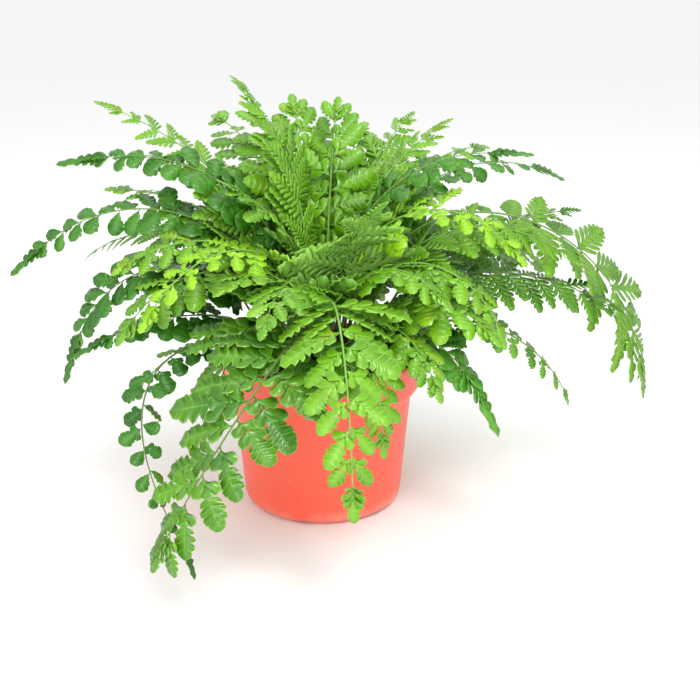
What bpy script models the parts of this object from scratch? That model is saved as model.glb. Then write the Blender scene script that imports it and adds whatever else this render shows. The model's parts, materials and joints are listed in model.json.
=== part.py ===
"""Potted mother fern: a nursery pot, its soil, the fern's crown, its arching fronds and curled croziers.

Metres, +Z up. The origin is the middle of the pot's underside, where it rests, and the front of the plant
faces -Y. The pot, the soil and the crown are turned shapes. Each frond is a strip that is extruded along
its own arching line, with leaflets extruded from the strip's sides and a Solidify modifier for thickness.
"""

import math

import bmesh
import bpy
from mathutils import Matrix, Vector
from mathutils.bvhtree import BVHTree

MM = 0.001

GAP = 0.3 * MM  # between pieces that touch in the real plant
TURN_STEPS = 40
FOOT_STEPS = 4

# Pot
POT_HEIGHT = 92 * MM
RIM_RADIUS = 60 * MM
POT_WALL = 1.5 * MM
COLLAR_HEIGHT = 19 * MM
COLLAR_TAPER = 2.5 * MM
COLLAR_STEP = 5 * MM  # how far the body stands in from the collar
COLLAR_SLOPE = 6 * MM
FOOT_RADIUS = 47 * MM
FOOT_ROUNDING = 8 * MM
FOOT_RING_WIDTH = 4 * MM
UNDERSIDE_RISE = 3 * MM
CENTRE_PAD_RADIUS = 14 * MM
FLOOR_THICKNESS = 2 * MM
DRAIN_HOLES = 6
DRAIN_HOLE_RADIUS = 4 * MM
DRAIN_HOLE_SIDES = 12
NOTCH_WIDTH = 9 * MM
NOTCH_HEIGHT = 2.2 * MM
NOTCH_TURN = math.radians(16)

# Soil and crown
SOIL_BELOW_RIM = 12 * MM
CROWN_RADIUS = 29 * MM
CROWN_RISE = 6 * MM
CROWN_EDGE = 1.5 * MM
CROWN_STEPS = 5

# Fronds
STALK_WIDTH = 1.6 * MM
STALK_THICKNESS = 1.4 * MM
BLADE_THICKNESS = 0.7 * MM
TIP_WIDTH = 0.8 * MM
LEAFLET_BASE = 2.5 * MM
LEAFLET_CLEARANCE = 0.3 * MM
LEAFLET_MARGIN = (STALK_THICKNESS + BLADE_THICKNESS) / 2 + LEAFLET_CLEARANCE
LEAFLET_TRIES = ((1, -8), (1, 22), (1, -38), (0.75, 8), (0.6, 35), (0.5, -50))  # shrink, tilt in degrees
ROOT_SHARE = 0.12  # of a leaflet, by its own stalk, that isn't tested for touching
STALK_LIFT = 1.4 * MM  # the stalk's first edge above the crown's skin
FLOOR_CLEARANCE = 3 * MM  # a trailing frond's line above the surface
STRAIGHT_SHARE = 0.25  # of a frond's length, before it starts to arch
STALK_STATIONS = 4
BLADE_END = 0.97  # of a frond's length, where the tip leaflet starts
FIRST_PAIR = 0.75  # the lowest leaflets over the longest
TIP_SHORTENING = 0.9
TIP_LEAFLET = dict(length=0.3, widest=0.12, half_width=0.08)  # over the longest leaflet
PATH_STEPS = 64

# kind: bare share of the stalk, leaflet pairs, leaflet width over length, lean towards the tip in degrees,
# how fast the leaflets shorten, colour
KINDS = {
    "broad": dict(bare=0.36, pairs=6, width=0.46, lean=28, taper=0.85, colour=(0.10, 0.36, 0.04)),
    "narrow": dict(bare=0.34, pairs=7, width=0.62, lean=22, taper=0.45, colour=(0.05, 0.22, 0.05)),
    "feathery": dict(bare=0.42, pairs=7, width=0.26, lean=36, taper=0.75, colour=(0.14, 0.34, 0.08)),
    "young": dict(bare=0.40, pairs=6, width=0.58, lean=30, taper=0.60, colour=(0.30, 0.60, 0.05)),
}

# kind, ring (per cent of the crown's radius), azimuth, rise, droop, bend, swing, roll (degrees, and bend a
# power), length, longest leaflet (mm)
FRONDS = [
    ("feathery", 48, 166, 80, 60, 0.6, 10, -30, 200, 24),
    ("narrow", 59, 180, 86, 106, 0.8, 0, -45, 208, 14),
    ("narrow", 76, 186, 74, 125, 0.8, 0, -50, 212, 14),
    ("narrow", 83, 198, 62, 155, 0.9, 0, -40, 186, 14),
    ("broad", 45, 203, 82, 115, 0.7, 0, -30, 158, 26),
    ("young", 52, 224, 84, 140, 0.7, 0, -20, 172, 17),
    ("narrow", 83, 210, 52, 80, 0.6, -20, -30, 125, 15),
    ("narrow", 83, 216, 26, 88, 0.5, 125, 0, 216, 12),
    ("broad", 83, 262, 42, 104, 0.4, -58, -15, 210, 32),
    ("broad", 59, 276, 52, 142, 0.7, 2, 5, 212, 38),
    ("broad", 66, 240, 80, 100, 1.0, -8, 0, 108, 30),
    ("feathery", 31, 300, 80, 50, 1.2, 0, 0, 112, 34),
    ("feathery", 24, 150, 88, 50, 1.4, 0, 0, 172, 22),
    ("broad", 21, 215, 88, 60, 1.0, -30, 0, 122, 28),
    ("broad", 28, 75, 86, 18, 1.0, 0, 0, 158, 22),
    ("narrow", 45, 22, 75, 108, 0.9, 0, 35, 214, 14),
    ("feathery", 48, 2, 66, 150, 0.6, 0, 35, 285, 36),
    ("feathery", 66, 12, 50, 50, 1.0, 0, 40, 168, 26),
    ("feathery", 76, 352, 58, 90, 0.5, 0, 30, 184, 26),
    ("young", 41, 336, 82, 142, 1.1, 4, 20, 176, 20),
    ("broad", 59, 330, 78, 152, 0.8, 0, 10, 158, 27),
    ("broad", 83, 343, 38, 108, 0.8, 8, 25, 152, 18),
    ("narrow", 83, 325, 50, 110, 0.8, 0, 10, 95, 13),
    ("broad", 38, 108, 84, 36, 1.0, 0, 0, 165, 24),
    ("feathery", 41, 55, 80, 62, 1.0, 0, 20, 172, 26),
    ("broad", 52, 128, 80, 70, 1.0, 0, -20, 178, 26),
    ("broad", 55, 38, 76, 84, 1.0, 0, 25, 182, 27),
    ("feathery", 28, 20, 84, 60, 1.0, 0, 20, 165, 24),
    ("narrow", 62, 150, 74, 88, 1.0, 0, -25, 188, 15),
    ("broad", 59, 90, 70, 115, 0.9, 0, 0, 212, 32),
    ("feathery", 66, 68, 66, 120, 0.9, 0, 0, 218, 32),
    ("narrow", 66, 112, 66, 122, 0.9, 0, 0, 214, 16),
    ("broad", 79, 136, 58, 130, 0.8, 0, 0, 212, 30),
    ("narrow", 83, 46, 58, 130, 0.8, 0, 0, 208, 16),
    ("broad", 83, 80, 48, 135, 0.7, 0, 0, 205, 30),
    ("feathery", 83, 103, 46, 135, 0.7, 0, 0, 198, 30),
    ("feathery", 79, 162, 60, 118, 0.8, 0, -20, 198, 26),
    ("broad", 45, 312, 78, 118, 0.9, 0, 0, 128, 28),
    ("broad", 48, 255, 74, 118, 0.9, 0, 0, 128, 28),
    ("broad", 76, 305, 58, 120, 0.8, 0, 0, 112, 27),
    ("broad", 76, 288, 46, 130, 0.7, 6, 0, 112, 24),
    ("broad", 83, 243, 56, 140, 0.8, 0, 0, 135, 30),
    ("broad", 62, 212, 72, 130, 0.8, 0, -20, 150, 30),
    ("narrow", 31, 352, 86, 95, 1.0, 0, 30, 182, 14),
    ("feathery", 59, 350, 70, 112, 0.9, 0, 30, 178, 28),
    ("broad", 83, 27, 54, 122, 0.8, 0, 20, 205, 28),
    ("broad", 62, 322, 60, 100, 0.9, 0, 10, 122, 32),
    ("broad", 48, 71, 86, 70, 1.1, 0, 10, 160, 26),
    ("broad", 60, 174, 76, 78, 0.8, 0, -20, 160, 28),
    ("broad", 34, 128, 84, 50, 1.1, 0, -10, 160, 26),
]

# Croziers: ring (per cent), azimuth, stalk height (mm), coil radius (mm), lean in degrees
CROZIERS = [
    (7, 320, 60, 5.0, 8),
    (83, 120, 36, 4.0, 24),
    (28, 260, 48, 4.5, 10),
    (90, 150, 40, 4.5, 14),
]
CROZIER_THICKNESS = 1.6 * MM
CROZIER_STALK_STEPS = 3
COIL_TURNS = 1.15
COIL_STEPS = 11
COIL_CLOSING = 0.45  # the coil's last radius over its first

POT_SLOPE = (RIM_RADIUS - COLLAR_TAPER - COLLAR_STEP - FOOT_RADIUS) / (
    POT_HEIGHT - COLLAR_HEIGHT - COLLAR_SLOPE - FOOT_ROUNDING)
FLOOR_TOP = UNDERSIDE_RISE + FLOOR_THICKNESS
SOIL_TOP = POT_HEIGHT - SOIL_BELOW_RIM


# Scene -----------------------------------------------------------------------------------------------

def clear_scene():
    for obj in list(bpy.data.objects):
        bpy.data.objects.remove(obj, do_unlink=True)


def new_collection(name):
    collection = bpy.data.collections.new(name)
    bpy.context.scene.collection.children.link(collection)
    return collection


def add_object(name, data, collection, colour=None, roughness=0.5):
    obj = bpy.data.objects.new(name, data)
    collection.objects.link(obj)
    if colour:
        material = bpy.data.materials.new(name)
        material.use_nodes = True
        shader = material.node_tree.nodes["Principled BSDF"]
        shader.inputs["Base Color"].default_value = (*colour, 1)
        shader.inputs["Roughness"].default_value = roughness
        shader.inputs["Metallic"].default_value = 0
        data.materials.append(material)
    return obj


# Turned shapes ---------------------------------------------------------------------------------------

def arc(centre_r, centre_z, radius, start, end, steps):
    """Points of an arc in the r-z plane, angles in degrees."""
    points = []
    for i in range(steps + 1):
        angle = math.radians(start + (end - start) * i / steps)
        points.append((centre_r + radius * math.cos(angle), centre_z + radius * math.sin(angle)))
    return points


def turned(name, profile, collection, colour, roughness):
    """A solid turned about Z from a profile of (radius, height) points that runs from top to bottom."""
    mesh = bpy.data.meshes.new(name)
    vertices = [(r, 0, z) for r, z in profile]
    mesh.from_pydata(vertices, [(i, i + 1) for i in range(len(vertices) - 1)], [])
    obj = add_object(name, mesh, collection, colour, roughness)
    screw = obj.modifiers.new("Turn", "SCREW")
    screw.axis = "Z"
    screw.steps = screw.render_steps = TURN_STEPS
    screw.use_merge_vertices = True
    screw.merge_threshold = 0.00005
    return obj


def body_radius(z):
    """Outer radius of the pot's body below the collar."""
    return FOOT_RADIUS + POT_SLOPE * (z - FOOT_ROUNDING)


def pot_outline():
    """The pot's outside from the rim down to the foot ring."""
    collar_bottom = POT_HEIGHT - COLLAR_HEIGHT
    foot = arc(FOOT_RADIUS - FOOT_ROUNDING, FOOT_ROUNDING, FOOT_ROUNDING, 0, -90, FOOT_STEPS)
    return [(RIM_RADIUS, POT_HEIGHT), (RIM_RADIUS - COLLAR_TAPER, collar_bottom),
            (RIM_RADIUS - COLLAR_TAPER - COLLAR_STEP, collar_bottom - COLLAR_SLOPE)] + foot


def pot_inside(offset):
    """The line that stays inside the pot's outside wall by the offset, from the rim down to the floor."""
    outline = pot_outline()[:3]
    return [(r - offset, z) for r, z in outline] + [(body_radius(FOOT_ROUNDING) - offset, FOOT_ROUNDING)]


def add_cutter(name, cutters, target, build, location, turn=0.0):
    bm = bmesh.new()
    build(bm)
    mesh = bpy.data.meshes.new(name)
    bm.to_mesh(mesh)
    bm.free()
    cutter = add_object(name, mesh, cutters)
    cutter.location = location
    cutter.rotation_euler.z = turn
    cutter.display_type = "WIRE"
    cutter.hide_render = True
    boolean = target.modifiers.new(name, "BOOLEAN")
    boolean.operation = "DIFFERENCE"
    boolean.solver = "EXACT"
    boolean.object = cutter


def build_pot(collection, cutters):
    inner = pot_inside(POT_WALL)
    ring_out = FOOT_RADIUS - FOOT_ROUNDING
    ring_in = ring_out - FOOT_RING_WIDTH
    underside = [(ring_in, 0), (ring_in - UNDERSIDE_RISE, UNDERSIDE_RISE),
                 (CENTRE_PAD_RADIUS + UNDERSIDE_RISE, UNDERSIDE_RISE), (CENTRE_PAD_RADIUS, 0), (0, 0)]
    floor_edge = (inner[-1][0] - (FOOT_ROUNDING - FLOOR_TOP), FLOOR_TOP)
    inside = inner + [floor_edge, (0, FLOOR_TOP)]
    profile = inside[::-1] + pot_outline() + underside
    pot = turned("nursery_pot", profile, collection, (0.98, 0.19, 0.10), 0.42)

    def hole(bm):
        bmesh.ops.create_cone(bm, cap_ends=True, segments=DRAIN_HOLE_SIDES, radius1=DRAIN_HOLE_RADIUS,
                              radius2=DRAIN_HOLE_RADIUS, depth=FLOOR_TOP * 3)

    def notch(bm):
        bmesh.ops.create_cube(bm, size=1)
        bmesh.ops.scale(bm, vec=(FOOT_ROUNDING * 2 + FOOT_RING_WIDTH, NOTCH_WIDTH, NOTCH_HEIGHT * 2),
                        verts=bm.verts)

    hole_ring = (ring_in + CENTRE_PAD_RADIUS) / 2
    for i in range(DRAIN_HOLES):
        angle = NOTCH_TURN + i * 2 * math.pi / DRAIN_HOLES
        direction = Vector((math.cos(angle), math.sin(angle), 0))
        add_cutter(f"drain_hole_{i + 1}", cutters, pot, hole, direction * hole_ring)
        add_cutter(f"foot_notch_{i + 1}", cutters, pot, notch, direction * ring_out, angle)


def build_soil(collection):
    inner = pot_inside(POT_WALL + GAP)
    (top_r, top_z), (low_r, low_z) = inner[0], inner[1]
    share = (top_z - SOIL_TOP) / (top_z - low_z)
    edge = (top_r + (low_r - top_r) * share, SOIL_TOP)
    floor_edge = (inner[-1][0] - (FOOT_ROUNDING - FLOOR_TOP), FLOOR_TOP + GAP)
    profile = [(0, SOIL_TOP), edge] + inner[1:] + [floor_edge, (0, FLOOR_TOP + GAP)]
    turned("potting_soil", profile, collection, (0.035, 0.022, 0.015), 0.95)


def crown_height(radius):
    """The crown's skin above the soil."""
    return CROWN_EDGE + (CROWN_RISE - CROWN_EDGE) * (1 - (radius / CROWN_RADIUS) ** 2)


def build_crown(collection):
    bottom = SOIL_TOP + GAP
    radii = [CROWN_RADIUS * i / CROWN_STEPS for i in range(CROWN_STEPS + 1)]
    dome = [(r, bottom + crown_height(r)) for r in radii]
    turned("crown", dome + [(CROWN_RADIUS, bottom), (0, bottom)], collection, (0.10, 0.06, 0.03), 0.9)


# Frond lines -----------------------------------------------------------------------------------------

def stalk_base(ring, azimuth):
    angle = math.radians(azimuth)
    radius = ring / 100 * CROWN_RADIUS
    height = SOIL_TOP + GAP + crown_height(radius) + STALK_LIFT
    return Vector((radius * math.cos(angle), radius * math.sin(angle), height))


def frond_line(rise, droop, bend, swing, length, base_height):
    """The frond's middle line in its own frame, with its heading along +X where it starts.

    Returns points and, at each, the share of the arch that is done and the heading.
    """
    point = Vector((0, 0, 0))
    line = [(point.copy(), 0.0, 0.0)]
    lowest = FLOOR_CLEARANCE - base_height
    for i in range(PATH_STEPS):
        share = (i + 0.5) / PATH_STEPS
        arch = max(0.0, share - STRAIGHT_SHARE) / (1 - STRAIGHT_SHARE)
        elevation = math.radians(rise - droop * arch ** bend)
        heading = math.radians(swing * arch)
        ahead = Vector((math.cos(elevation) * math.cos(heading), math.cos(elevation) * math.sin(heading),
                        math.sin(elevation)))
        point = point + ahead * (length / PATH_STEPS)
        point.z = max(point.z, lowest)
        line.append((point.copy(), arch, heading))
    return line


def frame_at(line, share, roll):
    """Middle point, side, forward and upper directions at a share of the frond's length."""
    place = share * PATH_STEPS
    i = min(int(place), PATH_STEPS - 1)
    (here, arch, heading), (there, next_arch, next_heading) = line[i], line[i + 1]
    t = place - i
    forward = (there - here).normalized()
    turn = heading + (next_heading - heading) * t
    side = Vector((-math.sin(turn), math.cos(turn), 0))
    upper = forward.cross(side).normalized()
    twist = Matrix.Rotation(math.radians(roll) * (arch + (next_arch - arch) * t) ** 0.5, 3, forward)
    return here.lerp(there, t), twist @ side, forward, twist @ upper


# Fronds ----------------------------------------------------------------------------------------------

def blade_places(kind):
    """Shares of the frond's length where its leaflet pairs stand."""
    pairs = kind["pairs"]
    return [kind["bare"] + (BLADE_END - kind["bare"]) * i / pairs for i in range(pairs)]


def stations(kind, length):
    """Shares where the strip has an edge: the bare stalk's, then two for each leaflet pair, and the tip."""
    half_base = LEAFLET_BASE / 2 / length
    shares = [kind["bare"] * i / STALK_STATIONS for i in range(STALK_STATIONS)]
    for place in blade_places(kind):
        shares += [place - half_base, place + half_base]
    return shares + [BLADE_END]


def strip_width(share):
    return STALK_WIDTH + (TIP_WIDTH - STALK_WIDTH) * share


def leaflet_corners(frame, root, side_sign, size, width, lean, tilt):
    """The near, tip and far corners of a kite that grows out from a place on the strip's side."""
    _, side, forward, upper = frame
    level = side * side_sign * math.cos(lean) + forward * math.sin(lean)
    outward = level * math.cos(tilt) + upper * math.sin(tilt)
    across = (forward - outward * forward.dot(outward)).normalized()
    widest = root + outward * size / 2
    return widest - across * width / 2, root + outward * size, widest + across * width / 2


def swollen(corners, margin):
    """A flat outline made fatter by a margin all round, as a shape to test for touching."""
    normal = (corners[2] - corners[0]).cross(corners[3] - corners[1]).normalized()
    n = len(corners)
    ways = [(corners[(i + 1) % n] - corners[i]).cross(normal).normalized() for i in range(n)]
    mitres = [(ways[i - 1] + ways[i]) / (1 + ways[i - 1].dot(ways[i])) for i in range(n)]
    wide = [corner + mitre * margin for corner, mitre in zip(corners, mitres)]
    faces = [tuple(range(n)), tuple(range(n, 2 * n))]
    faces += [(i, (i + 1) % n, n + (i + 1) % n, n + i) for i in range(n)]
    lift = normal * margin
    return BVHTree.FromPolygons([c + lift for c in wide] + [c - lift for c in wide], faces)


class Thicket:
    """Flat faces of what already stands, which new leaflets keep clear of."""

    def __init__(self):
        self.points = []
        self.faces = []
        self.tree = None

    def add(self, corners):
        start = len(self.points)
        self.points += corners
        self.faces.append(tuple(range(start, start + len(corners))))
        self.tree = None

    def is_clear(self, shape):
        if self.tree is None:
            self.tree = BVHTree.FromPolygons(self.points, self.faces)
        return not self.tree.overlap(shape)


def strip_edges(row):
    """The strip's two ends at each station, in the frond's own frame."""
    kind, line, roll = KINDS[row[0]], row_line(row), row[7]
    edges = []
    for share in stations(kind, row[8] * MM):
        middle, side, _, _ = frame_at(line, share, roll)
        half = side * strip_width(share) / 2
        edges.append((middle + half, middle - half))
    return edges


def tip_corners(row):
    """Corners of the small kite that carries the strip on to the frond's tip."""
    middle, side, forward, _ = frame_at(row_line(row), BLADE_END, row[7])
    longest = row[9] * MM
    widest = middle + forward * longest * TIP_LEAFLET["widest"]
    half = side * longest * TIP_LEAFLET["half_width"]
    return widest + half, middle + forward * longest * TIP_LEAFLET["length"], widest - half


def standing_faces(row):
    """The strip and the tip of a frond as flat faces in the world."""
    world = world_matrix(row)
    edges = [[world @ place for place in edge] for edge in strip_edges(row)]
    tip = [world @ place for place in tip_corners(row)]
    return [[a[0], a[1], b[1], b[0]] for a, b in zip(edges, edges[1:])] + [[*edges[-1][::-1], *tip]]


def world_matrix(row):
    _, ring, azimuth = row[:3]
    return Matrix.Translation(stalk_base(ring, azimuth)) @ Matrix.Rotation(math.radians(azimuth), 4, "Z")


def row_line(row):
    _, ring, azimuth, rise, droop, bend, swing, _, length, _ = row
    return frond_line(rise, droop, bend, swing, length * MM, stalk_base(ring, azimuth).z)


def extrude(bm, ends, places, thickness=1.0):
    """Extrudes the edge between two vertices to two new places. Returns the new vertices in that order."""
    layer = bm.verts.layers.deform.verify()
    grown = bmesh.ops.extrude_edge_only(bm, edges=[bm.edges.get(ends)])["geom"]
    fresh = {v for v in grown if isinstance(v, bmesh.types.BMVert)}
    partners = [[e.other_vert(end) for e in end.link_edges] for end in ends]
    new_ends = [next(v for v in near if v in fresh) for near in partners]
    for vert, place in zip(new_ends, places):
        vert.co = place
        vert[layer][0] = thickness
    return new_ends


def grow_strip(bm, edges):
    """The frond's middle strip, extruded from station to station.

    Returns the ends of each stretch's two side edges, and the ends of its last edge.
    """
    layer = bm.verts.layers.deform.verify()
    ends = [bm.verts.new(place) for place in edges[0]]
    bm.edges.new(ends)
    for vert in ends:
        vert[layer][0] = 1.0
    sides = []
    for places in edges[1:]:
        new_ends = extrude(bm, ends, places)
        sides.append(list(zip(ends, new_ends)))
        ends = new_ends
    return sides, ends


def grow_leaflet(bm, ends, corners):
    near, tip, far = corners
    thin = BLADE_THICKNESS / STALK_THICKNESS
    widest = extrude(bm, ends, (near, far), thin)
    tips = extrude(bm, widest, (tip, tip), thin)
    bmesh.ops.pointmerge(bm, verts=tips, merge_co=tip)


def pot_faces():
    """The pot's outside as faces, from its outline."""
    outline = pot_outline()
    turns = [2 * math.pi * i / TURN_STEPS for i in range(TURN_STEPS + 1)]
    for (r1, z1), (r2, z2) in zip(outline, outline[1:]):
        for a, b in zip(turns, turns[1:]):
            yield [Vector((r * math.cos(t), r * math.sin(t), z))
                   for r, z, t in ((r1, z1, a), (r1, z1, b), (r2, z2, b), (r2, z2, a))]


def place_leaflet(bm, ends, frame, sign, size, kind, world, obstacles):
    """Grows the largest leaflet, among a few sizes and tilts, that stands clear. There may be none."""
    root = (ends[0].co + ends[1].co) / 2
    for shrink, tilt in LEAFLET_TRIES:
        length = size * shrink
        corners = leaflet_corners(frame, root, sign, length, length * kind["width"],
                                  math.radians(kind["lean"]), math.radians(tilt))
        kite = [world @ place for place in (root.lerp(corners[1], ROOT_SHARE), *corners)]
        above_floor = min(place.z for place in kite) > FLOOR_CLEARANCE / 2
        if above_floor and all(o.is_clear(swollen(kite, LEAFLET_MARGIN)) for o in obstacles):
            grow_leaflet(bm, ends, corners)
            return kite
    return None


def build_frond(name, row, strips, thicket, collection):
    """One closed frond: its strip, the leaflets that stand clear of everything, and its tip."""
    kind, roll, longest = KINDS[row[0]], row[7], row[9] * MM
    line, world = row_line(row), world_matrix(row)
    stalks = Thicket()
    for other, faces in strips.items():
        if other != name:
            for face in faces:
                stalks.add(face)

    bm = bmesh.new()
    sides, ends = grow_strip(bm, strip_edges(row))
    for i, place in enumerate(blade_places(kind)):
        done = i / kind["pairs"]
        size = longest * (1 - done * TIP_SHORTENING) ** kind["taper"] * min(1.0, FIRST_PAIR + done)
        frame = frame_at(line, place, roll)
        for sign, side_ends in zip((1, -1), sides[STALK_STATIONS + 2 * i]):
            kite = place_leaflet(bm, side_ends, frame, sign, size, kind, world, (stalks, thicket))
            if kite:
                thicket.add(kite)
    grow_leaflet(bm, ends, tip_corners(row))

    mesh = bpy.data.meshes.new(name)
    bmesh.ops.recalc_face_normals(bm, faces=bm.faces)
    bm.to_mesh(mesh)
    bm.free()
    frond = add_object(name, mesh, collection, kind["colour"], 0.4)
    frond.vertex_groups.new(name="thickness")
    frond.matrix_world = world
    solid = frond.modifiers.new("Thickness", "SOLIDIFY")
    solid.thickness = STALK_THICKNESS
    solid.offset = 0
    solid.vertex_group = "thickness"
    solid.thickness_vertex_group = 0


def crozier_matrix(row):
    ring, azimuth, _, _, lean = row
    turn = Matrix.Rotation(math.radians(azimuth), 4, "Z") @ Matrix.Rotation(math.radians(lean), 4, "Y")
    return Matrix.Translation(stalk_base(ring, azimuth)) @ turn


def crozier_outline(row):
    """Corners of the flat rectangle that holds a crozier, in the world."""
    height, coil = row[2] * MM, row[3] * MM
    low, high = -CROZIER_THICKNESS / 2, height + coil + CROZIER_THICKNESS / 2
    corners = [(low, 0, low), (coil * 2, 0, low), (coil * 2, 0, high), (low, 0, high)]
    return [crozier_matrix(row) @ Vector(c) for c in corners]


def build_fronds(collection):
    names = [f"{row[0]}_frond_{i + 1:02d}" for i, row in enumerate(FRONDS)]
    strips = {name: standing_faces(row) for name, row in zip(names, FRONDS)}
    thicket = Thicket()
    for outline in [crozier_outline(row) for row in CROZIERS] + list(pot_faces()):
        thicket.add(outline)
    for name, row in zip(names, FRONDS):
        build_frond(name, row, strips, thicket, collection)


# Croziers --------------------------------------------------------------------------------------------

def build_crozier(name, row, collection):
    """A young frond still curled up: a stalk that ends in a flat coil."""
    height, coil = row[2] * MM, row[3] * MM
    points = [Vector((0, 0, height * i / CROZIER_STALK_STEPS)) for i in range(CROZIER_STALK_STEPS)]
    for i in range(COIL_STEPS + 1):
        t = i / COIL_STEPS
        angle = math.pi - t * COIL_TURNS * 2 * math.pi
        radius = coil * (1 - (1 - COIL_CLOSING) * t)
        points.append(Vector((coil + radius * math.cos(angle), 0, height + radius * math.sin(angle))))
    curve = bpy.data.curves.new(name, "CURVE")
    curve.dimensions = "3D"
    curve.bevel_depth = CROZIER_THICKNESS / 2
    curve.bevel_resolution = 1
    curve.use_fill_caps = True
    spline = curve.splines.new("POLY")
    spline.points.add(len(points) - 1)
    for spline_point, point in zip(spline.points, points):
        spline_point.co = (*point, 1)
    crozier = add_object(name, curve, collection, (0.35, 0.55, 0.08), 0.45)
    crozier.matrix_world = crozier_matrix(row)


def main():
    clear_scene()
    plant = new_collection("potted_fern")
    cutters = new_collection("cutters")
    build_pot(plant, cutters)
    build_soil(plant)
    build_crown(plant)
    build_fronds(plant)
    for i, row in enumerate(CROZIERS):
        build_crozier(f"crozier_{i + 1}", row, plant)


main()
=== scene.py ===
import json
import math
import random

import bmesh
import bpy
from mathutils import Matrix, Vector, noise

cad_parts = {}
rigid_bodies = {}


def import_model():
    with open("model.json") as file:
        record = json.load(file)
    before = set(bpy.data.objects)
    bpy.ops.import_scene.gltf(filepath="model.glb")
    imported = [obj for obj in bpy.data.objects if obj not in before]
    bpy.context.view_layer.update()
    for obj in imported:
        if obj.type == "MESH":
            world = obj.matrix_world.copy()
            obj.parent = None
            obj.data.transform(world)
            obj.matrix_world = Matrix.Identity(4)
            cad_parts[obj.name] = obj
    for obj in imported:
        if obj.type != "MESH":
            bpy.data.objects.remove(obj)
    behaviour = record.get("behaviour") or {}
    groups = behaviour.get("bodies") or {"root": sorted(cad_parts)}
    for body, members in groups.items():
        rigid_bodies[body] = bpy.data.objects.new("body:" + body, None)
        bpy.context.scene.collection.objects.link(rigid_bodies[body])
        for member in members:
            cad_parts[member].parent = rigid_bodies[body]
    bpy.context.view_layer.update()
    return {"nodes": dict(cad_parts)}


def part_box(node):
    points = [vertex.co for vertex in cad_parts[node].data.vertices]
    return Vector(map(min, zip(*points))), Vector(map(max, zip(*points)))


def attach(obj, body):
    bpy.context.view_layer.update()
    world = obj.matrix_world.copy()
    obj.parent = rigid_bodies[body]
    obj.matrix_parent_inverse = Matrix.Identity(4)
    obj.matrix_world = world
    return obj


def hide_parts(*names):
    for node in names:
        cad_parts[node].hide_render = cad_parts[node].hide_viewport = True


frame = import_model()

mm = 0.001
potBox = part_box("nursery_pot")
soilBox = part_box("potting_soil")
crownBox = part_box("crown")
print("frame loaded:", len(frame["nodes"]), "nodes")


# Small helpers

def putNode(tree, kind, values=None, **settings):  # values may be sockets, which get linked
    node = tree.nodes.new(kind)
    for key, value in settings.items():
        setattr(node, key, value)
    for key, value in (values or {}).items():
        if isinstance(value, bpy.types.NodeSocket):
            tree.links.new(value, node.inputs[key])
        else:
            node.inputs[key].default_value = value
    return node


def putFirst(tree, kind, values=None, **settings):
    return putNode(tree, kind, values, **settings).outputs[0]


def putShape(tree, kind, values=None, **settings):
    return putFirst(tree, "GeometryNode" + kind, values, **settings)


def putMath(tree, operation, a, b=0.0, c=0.0, clamp=False):
    return putFirst(tree, "ShaderNodeMath", {0: a, 1: b, 2: c}, operation=operation, use_clamp=clamp)


def times(tree, a, b):
    return putMath(tree, "MULTIPLY", a, b)


def timesPlus(tree, a, b, c, clamp=False):
    return putMath(tree, "MULTIPLY_ADD", a, b, c, clamp)


def putVector(tree, operation, a, b=(0, 0, 0)):
    return putFirst(tree, "ShaderNodeVectorMath", {0: a, 1: b}, operation=operation)


def stretch(tree, vector, factor):
    return putFirst(tree, "ShaderNodeVectorMath", {0: vector, 3: factor}, operation="SCALE")


def joinAxes(tree, x=0.0, y=0.0, z=0.0):
    return putFirst(tree, "ShaderNodeCombineXYZ", {0: x, 1: y, 2: z})


def axisOf(tree, vector, index):
    return putNode(tree, "ShaderNodeSeparateXYZ", {0: vector}).outputs[index]


def putRange(tree, value, low, high, start=0.0, end=1.0):
    return putFirst(tree, "ShaderNodeMapRange", {0: value, 1: low, 2: high, 3: start, 4: end},
                    interpolation_type="SMOOTHSTEP")


def putMix(tree, factor, a, b):
    node = putNode(tree, "ShaderNodeMix", {0: factor}, data_type="RGBA")
    for index, colour in ((6, a), (7, b)):
        if isinstance(colour, bpy.types.NodeSocket):
            tree.links.new(colour, node.inputs[index])
        else:
            node.inputs[index].default_value = (*colour[:3], 1)
    return node.outputs[2]


def putNoise(tree, place, scale, detail=3.0, roughness=0.5):
    return putFirst(tree, "ShaderNodeTexNoise", {"Vector": place, "Scale": scale, "Detail": detail,
                                                 "Roughness": roughness})


def objectPlace(tree, upShare=None):  # Object coordinates, drawn out along Z where a share is given
    place = putNode(tree, "ShaderNodeTexCoord").outputs["Object"]
    if upShare is None:
        return place
    return putFirst(tree, "ShaderNodeMapping", {0: place, "Scale": (1, 1, upShare)})


def attribute(tree, name):
    return putNode(tree, "ShaderNodeAttribute", attribute_name=name)


def addSockets(tree, direction, sockets):  # each value is a default, or the kind of a socket that has none
    kinds = {int: "Int", float: "Float", tuple: "Color"}
    for label, value in sockets.items():
        bare = isinstance(value, str)
        kind = "NodeSocket" + (value if bare else kinds[type(value)])
        socket = tree.interface.new_socket(label, in_out=direction, socket_type=kind)
        if not bare:
            socket.default_value = value


def newTree(name, kind, inputs, outputs):
    tree = bpy.data.node_groups.new(name, kind)
    addSockets(tree, "INPUT", inputs)
    addSockets(tree, "OUTPUT", outputs)
    return tree, tree.nodes.new("NodeGroupInput").outputs, tree.nodes.new("NodeGroupOutput").inputs


def geometryTree(name, inputs):
    return newTree(name, "GeometryNodeTree", {"Geometry": "Geometry", **inputs}, {"Geometry": "Geometry"})


def newMaterial(name, **values):
    material = bpy.data.materials.new(name)
    material.use_nodes = True
    shader = material.node_tree.nodes["Principled BSDF"]
    for key, value in values.items():
        shader.inputs[key].default_value = value
    return material, material.node_tree, shader


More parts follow.
